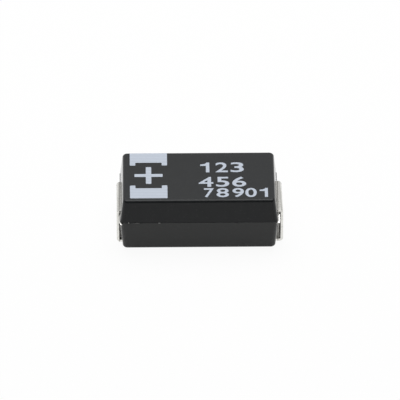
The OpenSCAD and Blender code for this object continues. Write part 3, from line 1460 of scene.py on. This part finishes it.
@dataclass
class Numbers:
    """Plain numbers beside the polarity mark.

    Attributes:
        marking: The marking that they belong to, for its height and finish.
        weight: How much the font's strokes are fattened, as a share of its size.
        flagged_one: Outline of the 1, which has a flag but no foot here, of any size.
        lines: The three lines.
    """

    marking: Marking
    weight: float = 0.014
    flagged_one: tuple[tuple[float, float], ...] = (
        (0.62, 0.0), (1.0, 0.0), (1.0, 1.9), (0.70, 1.9), (0.60, 1.72), (0.36, 1.58),
        (0.0, 1.52), (0.0, 1.25), (0.62, 1.25))
    lines: tuple[NumberLine, ...] = (
        NumberLine(0.35, 0.82, (("1", 0.08, 0.48), ("2", 0.75, 1.29), ("3", 1.41, 1.99))),
        NumberLine(-0.86, 0.82, (("4", 0.00, 0.64), ("5", 0.76, 1.34), ("6", 1.47, 2.08))),
        NumberLine(-1.73, 0.75, (
            ("7", 0.22, 0.66), ("8", 0.77, 1.31), ("9", 1.47, 1.97), ("0", 2.03, 2.53),
            ("1", 2.66, 3.02))),
    )

    def outline(self, digit: str) -> bpy.types.Mesh:
        """Makes one digit as a flat mesh of any size.

        Args:
            digit: The digit.

        Returns:
            The digit's face.
        """
        if digit == "1":
            work = bmesh.new()
            work.faces.new([work.verts.new((x, y, 0.0)) for x, y in self.flagged_one])
            return mesh_from("digit_1", work)
        text = bpy.data.curves.new(f"digit_{digit}", "FONT")
        text.body = digit
        text.size = 1.0
        text.offset = self.weight
        text.resolution_u = 8
        writer = new_object("digit", text)
        face = bpy.data.meshes.new_from_object(
            writer.evaluated_get(bpy.context.evaluated_depsgraph_get()))
        bpy.data.objects.remove(writer)
        return face

    def build(self) -> Piece:
        """Makes all the digits as one piece of marked skin.

        Returns:
            The piece that holds them.
        """
        work = bmesh.new()
        skin = self.marking.case.high.z + self.marking.lift
        for line in self.lines:
            for digit, left, right in line.digits:
                face = self.outline(digit)
                xs = [v.co.x for v in face.vertices]
                ys = [v.co.y for v in face.vertices]
                corner = Matrix.Translation((-min(xs), -min(ys), 0.0))
                wide = (right - left) / (max(xs) - min(xs))
                tall = line.height / (max(ys) - min(ys))
                place = Matrix.Translation((left, line.base, skin))
                size = Matrix.Diagonal((wide, tall, 1.0, 1.0))
                face.transform(Matrix.Scale(MM, 4) @ place @ size @ corner)
                work.from_mesh(face)
        bmesh.ops.remove_doubles(work, verts=work.verts, dist=SAME * MM)
        return self.marking.thicken("plain_numbers", work)


@dataclass
class CapacitorElement:
    """The sealed inner pieces, which keep their CAD solids and take their real finishes.

    Attributes:
        finishes: CAD node to finish.
    """

    finishes: dict[str, Finish] = field(default_factory=lambda: {
        "tantalum_anode": SINTERED,
        "anode_wire": WIRE,
        "insulating_washer": WASHER,
        "polymer_cathode": POLYMER,
        "carbon_coat": CARBON,
        "silver_coat": SILVER,
        "silver_adhesive": ADHESIVE,
    })

    def build(self) -> list[Piece]:
        """Dresses each inner piece.

        Returns:
            The pieces.
        """
        dressed = []
        for node, finish in self.finishes.items():
            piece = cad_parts[node]
            piece.data.materials.clear()
            piece.data.materials.append(finish.material())
            dressed.append(piece)
        return dressed


# ---------------------------------------------------------------------------------------------
# Studio
# ---------------------------------------------------------------------------------------------


@dataclass
class Studio:
    """White floor, open surroundings, one soft lamp and the camera.

    Attributes:
        elevation: Camera's height above the horizon, in degrees.
        azimuth: Camera's turn round the part, in degrees.
        roll: Camera's turn about its own axis, in degrees.
        distance: Camera's distance in millimetres.
        sensor: Width of the camera's sensor in millimetres.
        lens: Focal length in millimetres on that sensor.
        clip: Nearest and furthest distance that the camera sees, in millimetres.
        aim_right: How far right of the frame's origin the camera looks, in millimetres.
        aim_up: How far above it the camera looks, in millimetres.
        front_light: Brightness of the surroundings in front of the part.
        back_light: Brightness of the surroundings behind it.
        dusk: Place along Y, on the unit ball of directions, where the front light ends and
            where the back light is full.
        key_watts: Power of the lamp overhead.
        key_size: The lamp's size along X and Y, in millimetres.
        key_place: The lamp's place in millimetres.
        floor_reach: Half the floor's width in millimetres.
        paper: The floor's own colour, in sRGB hex.
        shadow_share: Share of the floor's look that is left to its own light and shadow.
    """

    elevation: float = 31.98
    azimuth: float = -0.56
    roll: float = -0.09
    distance: float = 400.0
    sensor: float = 36.0
    lens: float = 817.6
    clip: tuple[float, float] = (10.0, 5000.0)
    aim_right: float = 0.0602
    aim_up: float = 1.1818
    front_light: float = 0.022
    back_light: float = 0.62
    dusk: tuple[float, float] = (-0.75, 0.35)
    key_watts: float = 0.105
    key_size: tuple[float, float] = (120.0, 90.0)
    key_place: tuple[float, float, float] = (0.0, 30.0, 110.0)
    floor_reach: float = 500.0
    paper: str = "#f4f4f3"
    shadow_share: float = 0.06

    def build_camera(self) -> None:
        """Places the camera at the viewing angle."""
        data = bpy.data.cameras.new("camera")
        data.lens = self.lens
        data.sensor_width = self.sensor
        data.clip_start, data.clip_end = (distance * MM for distance in self.clip)
        camera = new_object("camera", data)
        around, above = math.radians(self.azimuth), math.radians(self.elevation)
        level = math.cos(above)
        back = Vector((math.sin(around) * level, -math.cos(around) * level, math.sin(above)))
        right = Vector((0, 0, 1)).cross(back).normalized()
        up = back.cross(right)
        location = back * self.distance
        aim = right * self.aim_right + up * self.aim_up
        roll = Quaternion((0, 0, 1), math.radians(self.roll))
        turn = (location - aim).to_track_quat("Z", "Y") @ roll
        camera.location = location * MM
        camera.rotation_mode = "QUATERNION"
        camera.rotation_quaternion = turn
        bpy.context.scene.camera = camera

    def build_floor(self) -> Piece:
        """Makes the pale floor, which looks white where the part doesn't shade it.

        Returns:
            The floor.
        """
        half = self.floor_reach * MM
        corners = [(-half, -half, 0), (half, -half, 0), (half, half, 0), (-half, half, 0)]
        sheet = bpy.data.meshes.new("floor")
        sheet.from_pydata(corners, [], [(0, 1, 2, 3)])
        floor = new_object("floor", sheet)
        made = bpy.data.materials.new("white_paper_floor")
        made.use_nodes = True
        tree = made.node_tree
        tree.nodes.clear()
        paper = add_node(tree, "ShaderNodeBsdfDiffuse", {"Color": linear(self.paper)})
        white = add_node(tree, "ShaderNodeEmission", {"Color": WHITE, "Strength": 1.0})
        lifted = maths(tree, "MULTIPLY", self.seen_rays(tree), 1.0 - self.shadow_share)
        look = add_node(tree, "ShaderNodeMixShader", {
            0: lifted, 1: paper.outputs["BSDF"], 2: white.outputs["Emission"]})
        below = add_node(tree, "ShaderNodeBsdfTransparent")
        sides = add_node(tree, "ShaderNodeMixShader", {
            0: add_node(tree, "ShaderNodeNewGeometry").outputs["Backfacing"],
            1: look.outputs["Shader"], 2: below.outputs["BSDF"]})
        add_node(tree, "ShaderNodeOutputMaterial", {"Surface": sides.outputs["Shader"]})
        floor.data.materials.append(made)
        return floor

    def seen_rays(self, tree: Tree) -> Socket:
        """Tells the rays that look from the rays that light.

        Args:
            tree: The material's tree.

        Returns:
            A socket that is 1 for camera, glossy and transmission rays and 0 for the rest.
        """
        rays = add_node(tree, "ShaderNodeLightPath").outputs
        pair = maths(tree, "MAXIMUM", rays["Is Camera Ray"], rays["Is Glossy Ray"])
        return maths(tree, "MAXIMUM", pair, rays["Is Transmission Ray"])

    def build_world(self) -> None:
        """Makes the surroundings: white to the eye, lit from behind and dim in front."""
        world = bpy.data.worlds.new("studio")
        bpy.context.scene.world = world
        world.use_nodes = True
        tree = world.node_tree
        tree.nodes.clear()
        direction = add_node(tree, "ShaderNodeSeparateXYZ", {
            "Vector": add_node(tree, "ShaderNodeTexCoord").outputs["Generated"]}).outputs["Y"]
        level = ramp(
            tree, direction, self.dusk, (self.front_light, self.back_light),
            interpolation_type="SMOOTHSTEP")
        room = add_node(tree, "ShaderNodeBackground", {"Color": WHITE, "Strength": level})
        white = add_node(tree, "ShaderNodeBackground", {"Color": WHITE, "Strength": 1.0})
        look = add_node(tree, "ShaderNodeMixShader", {
            0: add_node(tree, "ShaderNodeLightPath").outputs["Is Camera Ray"],
            1: room.outputs["Background"], 2: white.outputs["Background"]})
        add_node(tree, "ShaderNodeOutputWorld", {"Surface": look.outputs["Shader"]})

    def build_lamp(self) -> None:
        """Hangs one broad soft lamp over the part, a little behind it."""
        data = bpy.data.lights.new("overhead_softbox", "AREA")
        data.shape = "RECTANGLE"
        data.size, data.size_y = (size * MM for size in self.key_size)
        data.energy = self.key_watts
        lamp = new_object("overhead_softbox", data)
        lamp.location = [place * MM for place in self.key_place]
        lamp.rotation_mode = "QUATERNION"
        lamp.rotation_quaternion = lamp.location.to_track_quat("Z", "Y")

    def build(self) -> None:
        """Builds camera, floor, world and lamp, and sets the plain view transform."""
        bpy.context.scene.view_settings.view_transform = "Standard"
        self.build_camera()
        self.build_floor()
        self.build_world()
        self.build_lamp()


def report(pieces: Iterable[Piece]) -> None:
    """Logs each piece with its faces and its box.

    Args:
        pieces: The finished pieces.
    """
    for piece in pieces:
        corners = [Vector(c) / MM for c in piece.bound_box]
        low = [round(min(c[axis] for c in corners), 3) for axis in range(3)]
        high = [round(max(c[axis] for c in corners), 3) for axis in range(3)]
        log.info("%s: %d faces, %s to %s mm", piece.name, len(piece.data.polygons), low, high)


def main() -> None:
    """Builds the capacitor piece by piece, then the studio."""
    logging.basicConfig(level=logging.INFO, format="%(name)s: %(message)s")
    case = MouldedCase()
    report(case.build())
    strip_tree = bent_strip_tree()
    report(lead.build(strip_tree) for lead in (
        Terminal(End.ANODE, case, set_out=-0.042, skew=-0.004),
        Terminal(End.CATHODE, case, set_out=0.030, skew=0.015)))
    report(CapacitorElement().build())
    report(Marking(case).build())
    Studio().build()


if __name__ == "__main__":
    main()
